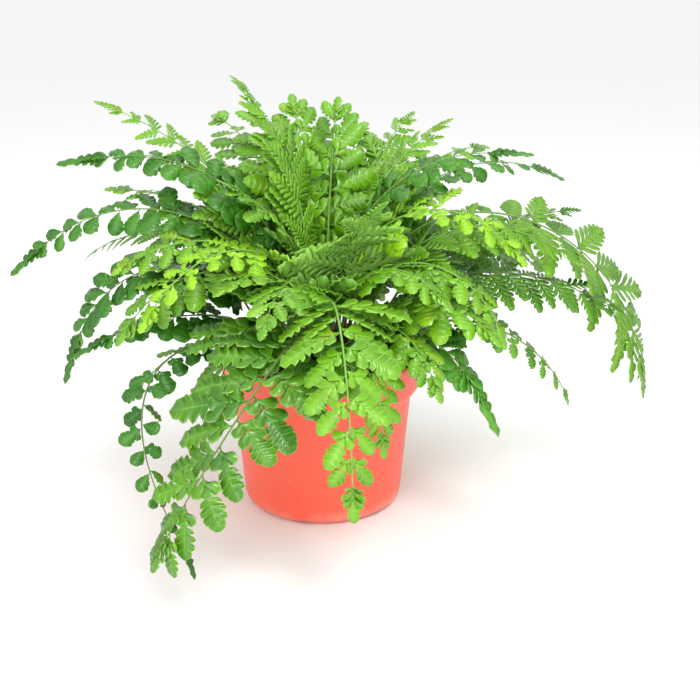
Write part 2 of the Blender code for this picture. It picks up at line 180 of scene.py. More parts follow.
def joinBump(tree, shader, height, strength, distance):
    bump = putNode(tree, "ShaderNodeBump", {"Strength": strength, "Distance": distance, "Height": height})
    tree.links.new(bump.outputs[0], shader.inputs["Normal"])


def bakedMesh(source, name):  # the evaluated mesh as a plain object at the origin, the source removed
    evaluated = source.evaluated_get(bpy.context.evaluated_depsgraph_get())
    mesh = bpy.data.meshes.new_from_object(evaluated, preserve_all_data_layers=True,
                                           depsgraph=bpy.context.evaluated_depsgraph_get())
    mesh.name = name
    mesh.transform(source.matrix_world)
    bpy.data.objects.remove(source, do_unlink=True)
    return linked(name, mesh)


def linked(name, data, collection=None):
    obj = bpy.data.objects.new(name, data)
    (collection or bpy.context.scene.collection).objects.link(obj)
    return obj


def linkedMesh(name, bm, collection=None):
    mesh = bpy.data.meshes.new(name)
    bm.to_mesh(mesh)
    bm.free()
    return linked(name, mesh, collection)


def treeModifier(obj, tree, values):  # inputs are set by socket identifier, before the first evaluation
    modifier = obj.modifiers.new(tree.name, "NODES")
    modifier.node_group = tree
    for item in tree.interface.items_tree:
        if item.item_type == "SOCKET" and item.in_out == "INPUT" and item.name in values:
            modifier[item.identifier] = values[item.name]
    return modifier


# Leaf and stalk materials

# each kind's rib colour also paints the highlight along the blade's edge
leafFinishes = {
    "broad": dict(deep=(0.017, 0.120, 0.003), fresh=(0.172, 0.430, 0.007), rib=(0.32, 0.56, 0.10),
                  under=(0.14, 0.35, 0.04), warm=(0.37, 0.48, 0.008), roughness=0.36, coat=0.60),
    "narrow": dict(deep=(0.012, 0.092, 0.004), fresh=(0.068, 0.280, 0.009), rib=(0.12, 0.30, 0.05),
                   under=(0.09, 0.25, 0.03), warm=(0.13, 0.31, 0.010), roughness=0.40, coat=0.40),
    "feathery": dict(deep=(0.028, 0.130, 0.004), fresh=(0.165, 0.400, 0.015), rib=(0.28, 0.50, 0.09),
                     under=(0.26, 0.50, 0.09), warm=(0.32, 0.43, 0.025), roughness=0.44, coat=0.25),
    "young": dict(deep=(0.110, 0.340, 0.005), fresh=(0.260, 0.550, 0.008), rib=(0.42, 0.66, 0.10),
                  under=(0.26, 0.50, 0.04), warm=(0.38, 0.60, 0.008), roughness=0.40, coat=0.40),
}


leafPattern = dict(  # noise scales, ranges across the blade (0 is the rib, 1 the blade's edge), each effect's share; the pale band at the blade's edge is a painted highlight
    patchScale=55.0, fineScale=900.0, ripeScale=38.0, veinsPerLobe=2.0,
    ribRange=(0.07, 0.01), edgeRange=(0.55, 1.0), rimRange=(0.90, 1.0), veinRange=(0.16, 0.03),
    veinFade=(1.0, 0.7), ripeRange=(0.54, 0.70), ripeInside=(0.95, 0.2), ripeTint=(0.35, 0.75),
    patchShare=0.9, edgeShare=0.12, outerShare=0.10, warmShare=0.55, veinShare=0.13, ribShare=0.30,
    rimShare=0.45, underShare=0.8, patchRough=0.25, underRough=0.2,
    veinHeight=-0.25, ribHeight=-0.8, fineHeight=0.22)


def makeLeafTone():  # colour, roughness and relief of a blade, from the leafPlace, tint and under attributes, with a painted highlight along the blade's edge
    group, given, result = newTree("leafTone", "ShaderNodeTree", dict(
        Deep=(0.02, 0.1, 0.02, 1), Fresh=(0.1, 0.4, 0.02, 1), Rib=(0.2, 0.5, 0.1, 1),
        Under=(0.1, 0.2, 0.05, 1), Warm=(0.4, 0.5, 0.01, 1), Roughness=0.4),
        dict(Colour="Color", Roughness="Float", Height="Float"))
    look = leafPattern
    place = attribute(group, "leafPlace").outputs["Vector"]
    along, across, vein = putNode(group, "ShaderNodeSeparateXYZ", {0: place}).outputs
    tint = attribute(group, "tint").outputs["Fac"]
    under = attribute(group, "under").outputs["Fac"]
    spot = objectPlace(group)
    patches = putMath(group, "SUBTRACT", putNoise(group, spot, look["patchScale"]), 0.5)
    fine = putNoise(group, spot, look["fineScale"], 2.0)
    sideways = putMath(group, "ABSOLUTE", across)
    # the band at the blade's edge is a painted highlight, the light caught on the blade's thickness
    edge, rib, rim = (putRange(group, sideways, *look[part + "Range"]) for part in ("edge", "rib", "rim"))
    veinTurn = putMath(group, "FRACT", times(group, vein, look["veinsPerLobe"]))
    veinFold = putMath(group, "ABSOLUTE", putMath(group, "SUBTRACT", veinTurn, 0.5))
    veinLine = times(group, putRange(group, veinFold, *look["veinRange"]),
                     putRange(group, sideways, *look["veinFade"]))
    mix = timesPlus(group, patches, look["patchShare"], tint)
    mix = timesPlus(group, edge, look["edgeShare"], mix)
    mix = timesPlus(group, along, look["outerShare"], mix, True)
    colour = putMix(group, mix, given["Deep"], given["Fresh"])
    ripe = putRange(group, putNoise(group, spot, look["ripeScale"], 2.0), *look["ripeRange"])
    ripe = times(group, ripe, putRange(group, sideways, *look["ripeInside"]))
    ripe = times(group, ripe, putRange(group, tint, *look["ripeTint"]))
    # the band at the blade's edge takes the rib colour as a painted highlight
    for mask, part, tone in ((ripe, "warm", "Warm"), (veinLine, "vein", "Rib"), (rib, "rib", "Rib"),
                             (rim, "rim", "Rib"), (under, "under", "Under")):
        colour = putMix(group, times(group, mask, look[part + "Share"]), colour, given[tone])
    group.links.new(colour, result["Colour"])
    rough = timesPlus(group, patches, look["patchRough"], given["Roughness"])
    group.links.new(timesPlus(group, under, look["underRough"], rough), result["Roughness"])
    relief = timesPlus(group, veinLine, look["veinHeight"], times(group, rib, look["ribHeight"]))
    group.links.new(timesPlus(group, fine, look["fineHeight"], relief), result["Height"])
    return group


leafTone = makeLeafTone()
leafSkin = {"Coat Roughness": 0.24, "Specular IOR Level": 0.38, "Specular Tint": (0.88, 1.0, 0.70, 1),
            "Subsurface Weight": 0.22, "Subsurface Radius": (0.0008, 0.0014, 0.0003),
            "Subsurface Scale": 1.0}


def makeLeafMaterial(kind):  # subsurface light stands for the light that comes through a thin blade
    finish = leafFinishes[kind]
    material, tree, shader = newMaterial(kind + "Leaf", **leafSkin)
    shader.inputs["Coat Weight"].default_value = finish["coat"]
    tone = putNode(tree, "ShaderNodeGroup", node_tree=leafTone)
    for label in ("Deep", "Fresh", "Rib", "Under", "Warm"):
        tone.inputs[label].default_value = (*finish[label.lower()], 1)
    tone.inputs["Roughness"].default_value = finish["roughness"]
    tree.links.new(tone.outputs["Colour"], shader.inputs["Base Color"])
    tree.links.new(tone.outputs["Roughness"], shader.inputs["Roughness"])
    joinBump(tree, shader, tone.outputs["Height"], 0.5, 0.3 * mm)
    return material


stalkFinish = dict(foot=(0.030, 0.018, 0.010), dark=(0.060, 0.075, 0.022), green=(0.20, 0.42, 0.06),
                   footRange=(0.02, 0.30), streakScale=700.0, streakShare=0.3)


def makeStalkMaterial():
    material, tree, shader = newMaterial("fernStalk", Roughness=0.45)
    tint = attribute(tree, "tint").outputs["Fac"]
    share = attribute(tree, "stalkShare").outputs["Fac"]
    streaks = putNoise(tree, objectPlace(tree, 0.25), stalkFinish["streakScale"], 2.0)
    greenness = timesPlus(tree, streaks, stalkFinish["streakShare"], tint, True)
    up = putMix(tree, greenness, stalkFinish["dark"], stalkFinish["green"])
    colour = putMix(tree, putRange(tree, share, *stalkFinish["footRange"]), stalkFinish["foot"], up)
    tree.links.new(colour, shader.inputs["Base Color"])
    joinBump(tree, shader, streaks, 0.4, 0.15 * mm)
    return material


leafMaterials = {kind: makeLeafMaterial(kind) for kind in leafFinishes}
stalkMaterial = makeStalkMaterial()
print("leaf materials made")


# Leaf shapes: closed thin blades one unit long, along +X, upper side +Z. Each has a stem, then lobes along
# its rib on both sides, and an end lobe. The variants go from the frond's foot to its outer end, and the
# last one is the tip leaf. Each gives its lobes (place along the rib, angle, length, width), its end lobe
# (start, length, width) and the teeth on each side of the end lobe

leafShapes = {
    "broad": dict(
        thickness=0.012, wing=0.045, cup=0.16, arch=0.14, lobeTeeth=3, dip=0.10, endDip=0.50, peak=0.56,
        ripple=0.028, skew=0.95, variants=[
            dict(lobes=[(0.11, 66, 0.24, 0.19), (0.24, 56, 0.30, 0.20), (0.38, 46, 0.34, 0.19)],
                 end=(0.40, 0.60, 0.40), teeth=4),
            dict(lobes=[(0.13, 60, 0.28, 0.21), (0.28, 48, 0.34, 0.21)], end=(0.32, 0.68, 0.44), teeth=4),
            dict(lobes=[(0.16, 52, 0.33, 0.24)], end=(0.22, 0.78, 0.46), teeth=4),
            dict(lobes=[], end=(0.08, 0.92, 0.50), teeth=4),
            dict(lobes=[(0.14, 46, 0.40, 0.22), (0.34, 40, 0.36, 0.20)], end=(0.42, 0.58, 0.34), teeth=3)]),
    "narrow": dict(
        thickness=0.020, wing=0.05, cup=0.14, arch=0.12, lobeTeeth=2, dip=0.08, endDip=0.16, peak=0.64,
        ripple=0.03, skew=0.78, variants=[
            dict(lobes=[(0.12, 58, 0.44, 0.36)], end=(0.20, 0.80, 0.70), teeth=3),
            dict(lobes=[(0.14, 52, 0.42, 0.32)], end=(0.18, 0.82, 0.72), teeth=3),
            dict(lobes=[], end=(0.08, 0.92, 0.78), teeth=3),
            dict(lobes=[], end=(0.08, 0.92, 0.66), teeth=2),
            dict(lobes=[(0.12 + 0.16 * i, 34 - 3 * i, 0.27 - 0.03 * i, 0.15) for i in range(3)],
                 end=(0.36, 0.64, 0.17), teeth=2)]),
    "feathery": dict(
        thickness=0.016, wing=0.032, cup=0.10, arch=0.12, lobeTeeth=0, dip=0.0, endDip=0.45, peak=0.45,
        ripple=0.02, skew=1.0, variants=[
            dict(lobes=[(0.06 + 0.125 * i, 54 - 3 * i, 0.31 - 0.005 * i * i, 0.096) for i in range(6)],
                 end=(0.72, 0.28, 0.19), teeth=2),
            dict(lobes=[(0.08 + 0.14 * i, 52 - 3 * i, 0.30 - 0.006 * i * i, 0.102) for i in range(5)],
                 end=(0.68, 0.32, 0.20), teeth=2),
            dict(lobes=[(0.10 + 0.16 * i, 47 - 4 * i, 0.29 - 0.01 * i * i, 0.110) for i in range(4)],
                 end=(0.60, 0.40, 0.22), teeth=2),
            dict(lobes=[(0.18, 42, 0.34, 0.14), (0.34, 38, 0.28, 0.13)], end=(0.42, 0.58, 0.22), teeth=2),
            dict(lobes=[(0.08 + 0.15 * i, 42 - 2 * i, 0.30 - 0.03 * i, 0.09) for i in range(5)],
                 end=(0.70, 0.30, 0.14), teeth=2)]),
    "young": dict(
        thickness=0.022, wing=0.022, cup=0.18, arch=0.10, lobeTeeth=2, dip=0.06, endDip=0.50, peak=0.60,
        ripple=0.04, skew=0.9, variants=[
            dict(lobes=[(0.14, 76, 0.24, 0.20), (0.32, 62, 0.29, 0.20)], end=(0.40, 0.60, 0.38), teeth=3),
            dict(lobes=[(0.16, 70, 0.26, 0.22), (0.34, 54, 0.29, 0.19)], end=(0.42, 0.58, 0.40), teeth=3),
            dict(lobes=[(0.18, 62, 0.31, 0.24)], end=(0.30, 0.70, 0.44), teeth=3),
            dict(lobes=[], end=(0.12, 0.88, 0.56), teeth=3),
            dict(lobes=[(0.16, 50, 0.32, 0.22), (0.38, 44, 0.30, 0.18)], end=(0.48, 0.52, 0.34), teeth=2)]),
}
lobeForm = dict(  # a lobe as a fan on a flank, its points as shares of its length and width
    centre=0.55, spread=58, fingerSwings=(40, 0, -40), toothedFlank=[(0.28, 0.20), (0.56, 0.44)],
    fingerFlank=[(0.25, 0.32), (0.60, 0.48)], sideShift=0.02, footSpread=0.05)
endForm = dict(  # an end lobe that swells to its peak, with teeth that lean forwards
    swell=1.2, close=0.55, firstTooth=0.26, baseShares=(0.4, 0.8), toothLead=0.72, cutAfter=0.02,
    roundAfter=0.20, roundIn=0.97, leastCut=0.05, cutFade=1.3, ribStart=0.10, ribReach=0.82)


def lobePoints(root, angle, length, width, shape, number):  # from the lobe's lower side to its upper side
    turn = math.radians(angle)
    ahead, aside = Vector((math.cos(turn), math.sin(turn))), Vector((-math.sin(turn), math.cos(turn)))
    centre, teeth, spread = lobeForm["centre"], shape["lobeTeeth"], lobeForm["spread"]
    flank = lobeForm["toothedFlank" if teeth else "fingerFlank"]
    swings = lobeForm["fingerSwings"]
    if teeth:
        swings = [spread * (1 - i / (teeth - 1)) for i in range(2 * teeth - 1)]
    shaped = [(u, v, 0.1 + 0.3 * u) for u, v in flank]
    for i, swing in enumerate(swings):
        a = math.radians(swing)
        reach = 1 - (shape["dip"] if teeth and i % 2 else 0)
        shaped.append((centre + (1 - centre) * math.cos(a) * reach, 0.5 * math.sin(a) * reach,
                       0.5 - 0.15 * math.sin(a)))
    shaped += [(u, -v, 0.9 - 0.3 * u) for u, v in flank[::-1]]
    points = []
    for u, v, vein in shaped:
        place = Vector((root, 0)) + ahead * u * length + aside * v * width
        points.append((place.x, place.y, number + vein))
    return points


def endPoints(start, length, width, shape, teeth, number):  # half of the end lobe, from its foot to the tip
    peak, first = shape["peak"], endForm["firstTooth"]

    def half(u):
        if u < peak:
            return 0.5 * width * math.sin(math.pi / 2 * u / peak) ** endForm["swell"]
        return 0.5 * width * math.cos(math.pi / 2 * (u - peak) / (1 - peak)) ** endForm["close"]

    points = [(start + first * share * length, half(first * share), number + 0.3 * share)
              for share in endForm["baseShares"]]
    for i in range(teeth):
        notch, tip = (first + (1 - first) * (i + lead) / teeth for lead in (0, endForm["toothLead"]))
        inward = 1 - shape["endDip"] * (1 - i / teeth) ** endForm["cutFade"] - endForm["leastCut"]
        cut, rounding = (notch + endForm[after] / teeth for after in ("cutAfter", "roundAfter"))
        points += [(start + cut * length, half(notch) * inward, number + 0.4 + i),
                   (start + rounding * length, half(rounding) * endForm["roundIn"], number + 0.6 + i),
                   (start + tip * length, half(tip), number + 0.9 + i)]
    return points


def leafSide(shape, variant, side):  # rib place and outline point for each step from the stem to the tip
    steps = [(0.0, 0.0, 0.012, 0.0), (0.07, 0.07, 0.014, 0.0)]
    lobes = variant["lobes"]
    for number, (place, angle, length, width) in enumerate(lobes):
        shift = lobeForm["sideShift"] * side
        points = lobePoints(place + shift, angle, length, width, shape, number)
        for i, (x, y, vein) in enumerate(points):
            foot = place + shift + lobeForm["footSpread"] * (i / (len(points) - 1) - 0.5)
            steps.append((foot, x, y, vein))
        following = lobes[number + 1][0] if number + 1 < len(lobes) else variant["end"][0]
        notch = (place + following) / 2 + shift
        edge = shape["wing"] * (0.7 + 0.6 * number / len(lobes))
        steps.append((notch, notch + edge * 1.2, edge, number + 1.0))
    start, length, width = variant["end"]
    points = endPoints(start, length, width, shape, variant["teeth"], len(lobes))
    for i, (x, y, vein) in enumerate(points):
        along = endForm["ribStart"] + endForm["ribReach"] * i / len(points)
        steps.append((start + length * along, x, y, vein))
    return steps


def makeLeaf(name, shape, variant, collection, seed):
    rng = random.Random(seed)
    bm = bmesh.new()
    placeLayer = bm.verts.layers.float_vector.new("leafPlace")
    underLayer = bm.verts.layers.float.new("under")
    bend = shape["arch"] * rng.uniform(0.6, 1.4)
    phase = rng.uniform(0, 6)

    def leafVert(x, y, across, vein, under):
        lift = shape["cup"] * abs(y) - 0.9 * shape["cup"] * y * y / 0.3 - bend * x * x
        lift += shape["ripple"] * abs(across) * math.sin(vein * 2 * math.pi + phase)
        vert = bm.verts.new((x, y, lift - under * shape["thickness"]))
        vert[placeLayer] = (x, across, vein)
        vert[underLayer] = under
        return vert

    sides = {side: leafSide(shape, variant, side) for side in (1, -1)}
    ribs = [(a[0] + b[0]) / 2 for a, b in zip(sides[1], sides[-1])]
    sheets = []
    for under in (0, 1):
        rib = [leafVert(x, 0.0, 0.0, step[3], under) for x, step in zip(ribs, sides[1])]
        edges = {side: [leafVert(x, y * wide, side, vein, under) for _, x, y, vein in sides[side]]
                 for side, wide in ((1, 1.0), (-1, -shape["skew"]))}
        tip = leafVert(1.0, 0.0, 1.0, 0.5, under)
        for side, edge in edges.items():
            for i in range(len(rib) - 1):
                bm.faces.new((rib[i], rib[i + 1], edge[i + 1], edge[i]))
            bm.faces.new((rib[-1], tip, edge[-1]))
        sheets.append(edges[1] + [tip] + edges[-1][::-1])
        if under:
            sheets.append([rib[0]])
        else:
            firstRib = rib[0]
    top, bottom, (lastRib,) = sheets
    ring = list(zip(top + [firstRib], bottom + [lastRib]))
    for (a, b), (c, d) in zip(ring, ring[1:] + ring[:1]):
        bm.faces.new((a, c, d, b))
    bmesh.ops.recalc_face_normals(bm, faces=bm.faces)
    leaf = linkedMesh(name, bm, collection)
    leaf.data.shade_smooth()
    return leaf


templates = bpy.data.collections.new("leafTemplates")
bpy.context.scene.collection.children.link(templates)


def leafSet(kind):
    shape = leafShapes[kind]
    variants = bpy.data.collections.new(kind + "Leaves")
    templates.children.link(variants)
    for index, variant in enumerate(shape["variants"]):
        leaf = makeLeaf(f"{kind}Leaf{index + 1}", shape, variant, variants, index)
        print(leaf.name, "faces:", len(leaf.data.polygons))
    return variants


leafSets = {kind: leafSet(kind) for kind in leafShapes}
print("leaf shapes made")


# Fronds: a node tree sets pinnae along each frond's line and turns the line into a tapering stalk

pinnaInputs = dict(
    leaves="Collection", pairs=8, bare=0.3, end=0.92, length=0.02, width=1.0, first=0.75, growth=1.6,
    taper=0.8, tip=0.4, simpler=2.6, lean=0.5, sag=0.1, disorder=0.25, wobble=0.001, radius=0.0008, tint=0.5,
    seed=0, leafMaterial="Material", stalkMaterial="Material")
pinnaForm = dict(otherSideShift=0.45, endLean=1.15, leanPower=2.5, roll=1.2, outerShrink=0.86,
                 sizes=(0.84, 1.12), loose=(-0.5, 0.6), tints=(-0.16, 0.16), lastVariant=3.0, tipVariant=4,
                 tipSteps=40)
stalkForm = dict(foot=1.25, tip=0.38, sides=7)  # radius at both ends, as shares of the stalk radius
wobbleForm = dict(scale=42.0, detail=1.0, seedStep=0.37, reach=2.0)


def named(tree, name, kind="FLOAT"):
    return putShape(tree, "InputNamedAttribute", {"Name": name}, data_type=kind)


def store(tree, geometry, name, value, domain="POINT"):
    return putShape(tree, "StoreNamedAttribute", {"Geometry": geometry, "Name": name, "Value": value},
                    data_type="FLOAT", domain=domain)


def randomValue(tree, low, high, seed, shift):
    values = {2: low, 3: high, "Seed": putMath(tree, "ADD", seed, float(shift))}
    return putNode(tree, "FunctionNodeRandomValue", values, data_type="FLOAT").outputs[1]


def turnAlong(tree, forward, upwards):
    return putFirst(tree, "FunctionNodeAxesToRotation", {0: forward, 1: upwards}, primary_axis="X",
                    secondary_axis="Z")


def placeLeaves(tree, points, given, choice, turn, scale, **only):
    leaves = putShape(tree, "CollectionInfo", {
        "Collection": given["leaves"], "Separate Children": True, "Reset Children": True})
    return putShape(tree, "InstanceOnPoints", {
        "Points": points, "Instance": leaves, "Pick Instance": True, "Instance Index": choice,
        "Rotation": turn, "Scale": scale, **only})


def putSide(tree, curve, given, side):  # one side's pinnae: sizes, directions and instances along the line
    def chance(low, high, shift):
        return randomValue(tree, low, high, given["seed"], shift + side)

    form, disorder = pinnaForm, given["disorder"]
    blade = putMath(tree, "SUBTRACT", given["end"], given["bare"])
    spacing = putMath(tree, "DIVIDE", blade, given["pairs"])
    start = timesPlus(tree, spacing, 0.0 if side > 0 else form["otherSideShift"], given["bare"])
    leafy = putShape(tree, "TrimCurve", {0: curve, 2: start, 3: given["end"]})
    points = putShape(tree, "ResampleCurve", {"Curve": leafy, "Count": given["pairs"]})
    travel = putNode(tree, "GeometryNodeSplineParameter").outputs["Factor"]
    tangent = putShape(tree, "InputTangent")
    upper = named(tree, "upper", "FLOAT_VECTOR")
    sideways = stretch(tree, putVector(tree, "CROSS_PRODUCT", upper, tangent), float(side))
    lean = timesPlus(tree, putMath(tree, "POWER", travel, form["leanPower"]), putMath(
        tree, "SUBTRACT", form["endLean"], given["lean"]), given["lean"])
    lean = timesPlus(tree, chance(-0.5, 0.5, 3), disorder, lean)
    outward = putVector(tree, "ADD", stretch(tree, sideways, putMath(tree, "COSINE", lean)),
                        stretch(tree, tangent, putMath(tree, "SINE", lean)))
    lift = times(tree, chance(-1.0, 1.0, 7), disorder)
    outward = putVector(tree, "ADD", outward, stretch(tree, upper, lift))
    outward = putVector(tree, "ADD", outward, joinAxes(tree, z=times(tree, given["sag"], -1.0)))
    roll = times(tree, chance(-form["roll"], form["roll"], 11), disorder)
    turn = turnAlong(tree, outward, putVector(tree, "ADD", upper, stretch(tree, tangent, roll)))
    shrink = putMath(tree, "POWER", timesPlus(tree, travel, -form["outerShrink"], 1.0), given["taper"])
    first = putMath(tree, "MINIMUM", timesPlus(tree, travel, given["growth"], given["first"]), 1.0)
    size = times(tree, times(tree, shrink, first), given["length"])
    size = times(tree, size, chance(*form["sizes"], 17))
    scale = joinAxes(tree, size, times(tree, size, given["width"]), size)
    choice = timesPlus(tree, travel, given["simpler"], chance(*form["loose"], 23))
    choice = putMath(tree, "ROUND", putMath(tree, "MAXIMUM", choice, 0.0))
    choice = putMath(tree, "MINIMUM", choice, form["lastVariant"])
    tint = putMath(tree, "ADD", given["tint"], chance(*form["tints"], 29))
    return store(tree, placeLeaves(tree, points, given, choice, turn, scale), "tint", tint, "INSTANCE")


def putTip(tree, curve, given):  # the leaf that carries the line on to the frond's point
    curve = putShape(tree, "TrimCurve", {0: curve, 3: given["end"]})
    last = putShape(tree, "CurveEndpointSelection", {"Start Size": 0, "End Size": 1})
    points = putShape(tree, "ResampleCurve", {"Curve": curve, "Count": pinnaForm["tipSteps"]})
    turn = turnAlong(tree, putShape(tree, "InputTangent"), named(tree, "upper", "FLOAT_VECTOR"))
    size = times(tree, given["length"], given["tip"])
    tip = placeLeaves(tree, points, given, pinnaForm["tipVariant"], turn, joinAxes(tree, size, size, size),
                      Selection=last)
    return store(tree, tip, "tint", given["tint"], "INSTANCE")


def putStalk(tree, curve, given):
    foot, tip = stalkForm["foot"], stalkForm["tip"]
    curve = putShape(tree, "TrimCurve", {0: curve, 3: given["end"]})
    share = putShape(tree, "SplineParameter")
    curve = store(tree, curve, "stalkShare", share)
    radius = times(tree, timesPlus(tree, share, tip - foot, foot), given["radius"])
    ring = putShape(tree, "CurvePrimitiveCircle", {"Resolution": stalkForm["sides"], "Radius": 1.0})
    tube = putShape(tree, "CurveToMesh", {"Curve": curve, "Profile Curve": ring, "Scale": radius,
                                          "Fill Caps": True})
    return store(tree, store(tree, tube, "tint", given["tint"]), "isStalk", 1.0)


def wobbled(tree, geometry, given):  # bends each blade a little by a smooth noise, more towards its end
    form = wobbleForm
    shift = joinAxes(tree, times(tree, given["seed"], form["seedStep"]))
    spot = putVector(tree, "ADD", putShape(tree, "InputPosition"), shift)
    cloud = putNode(tree, "ShaderNodeTexNoise", {
        "Vector": spot, "Scale": form["scale"], "Detail": form["detail"]}).outputs[1]
    centred = putVector(tree, "SUBTRACT", cloud, (0.5, 0.5, 0.5))
    along = axisOf(tree, named(tree, "leafPlace", "FLOAT_VECTOR"), 0)
    offset = stretch(tree, centred, times(tree, along, times(tree, given["wobble"], form["reach"])))
    return putShape(tree, "SetPosition", {"Geometry": geometry, "Offset": offset})


def finishTree(tree, geometry, given, result):
    whole = wobbled(tree, putShape(tree, "RealizeInstances", {"Geometry": geometry}), given)
    whole = putShape(tree, "SetShadeSmooth", {"Geometry": whole})
    whole = putShape(tree, "SetMaterial", {"Geometry": whole, "Material": given["leafMaterial"]})
    stalkOnly = putFirst(tree, "FunctionNodeCompare", {0: named(tree, "isStalk"), 1: 0.5},
                         data_type="FLOAT", operation="GREATER_THAN")
    whole = putShape(tree, "SetMaterial", {
        "Geometry": whole, "Selection": stalkOnly, "Material": given["stalkMaterial"]})
    tree.links.new(whole, result[0])


def makeFrondTree():
    tree, given, result = geometryTree("frondTree", pinnaInputs)
    curve = putShape(tree, "MeshToCurve", {"Mesh": given[0]})
    parts = [putSide(tree, curve, given, side) for side in (1, -1)]
    parts += [putTip(tree, curve, given), putStalk(tree, curve, given)]
    joined = putNode(tree, "GeometryNodeJoinGeometry")
    for part in parts:
        tree.links.new(part, joined.inputs[0])
    finishTree(tree, joined.outputs[0], given, result)
    return tree


frondTree = makeFrondTree()


def lineMesh(name, points, uppers):
    mesh = bpy.data.meshes.new(name)
    mesh.from_pydata([tuple(p) for p in points], [(i, i + 1) for i in range(len(points) - 1)], [])
    layer = mesh.attributes.new("upper", "FLOAT_VECTOR", "POINT")
    for item, upper in zip(layer.data, uppers):
        item.vector = upper
    return mesh


frondKinds = {
    "broad": dict(size=1.34, bare=0.27, pairs=10, lean=26, first=0.72, taper=0.60, tip=0.46, sag=0.16,
                  disorder=0.26, wobble=1.6, radius=0.80),
    "narrow": dict(size=1.45, bare=0.27, pairs=13, lean=22, first=0.85, taper=0.45, tip=1.25, sag=0.12,
                   disorder=0.36, wobble=1.2, radius=0.62),
    "feathery": dict(size=1.30, bare=0.34, pairs=13, lean=32, first=0.72, taper=0.75, tip=0.45, sag=0.12,
                     disorder=0.22, wobble=1.0, radius=0.70),
    "young": dict(size=1.70, bare=0.34, pairs=8, lean=26, first=0.78, taper=0.55, tip=0.60, sag=0.14,
                  disorder=0.40, wobble=1.2, radius=0.72),
}

